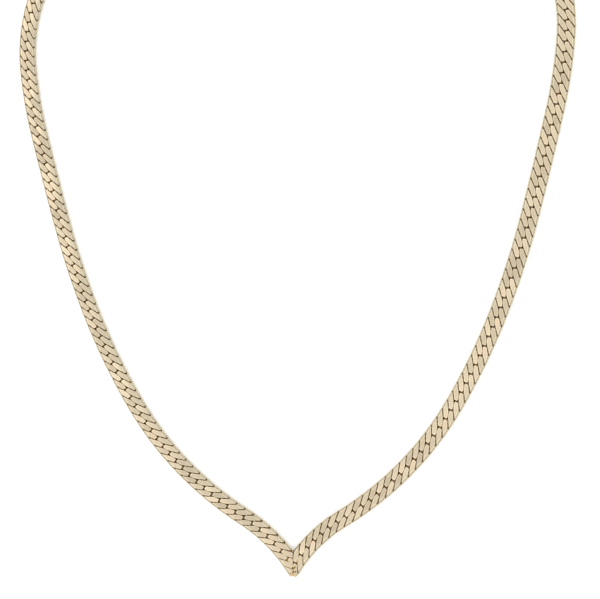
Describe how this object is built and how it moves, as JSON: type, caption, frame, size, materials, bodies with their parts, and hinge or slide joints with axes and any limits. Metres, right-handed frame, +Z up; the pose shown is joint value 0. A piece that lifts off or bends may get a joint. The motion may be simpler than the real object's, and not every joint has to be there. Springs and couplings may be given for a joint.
{
  "type": "v-shaped flat curb chain necklace",
  "caption": "Flat, tight curb-link collar necklace whose two legs are mitred and soldered into a V at the front and joined by a plain clasp at the back.",
  "frame": {"origin": "centre of the necklace's box, on the surface that it lies on", "axes": "+Z up out of the chain's flat face, -Y towards the point of the V, +Y towards the clasp, +X towards the right leg as seen from above"},
  "size_m": [0.1136, 0.1538, 0.0015],
  "materials": {
    "chain_gold": "pale yellow gold, pressed flat and polished, with fine wear lines",
    "joint_gold": "pale yellow gold with a little solder run between the bars",
    "clasp_gold": "plain polished pale yellow gold"
  },
  "bodies": {
    "root": {"left_chain": "chain_gold", "right_chain": "chain_gold", "v_joint": "joint_gold", "clasp": "clasp_gold"}
  },
  "joints": []
}
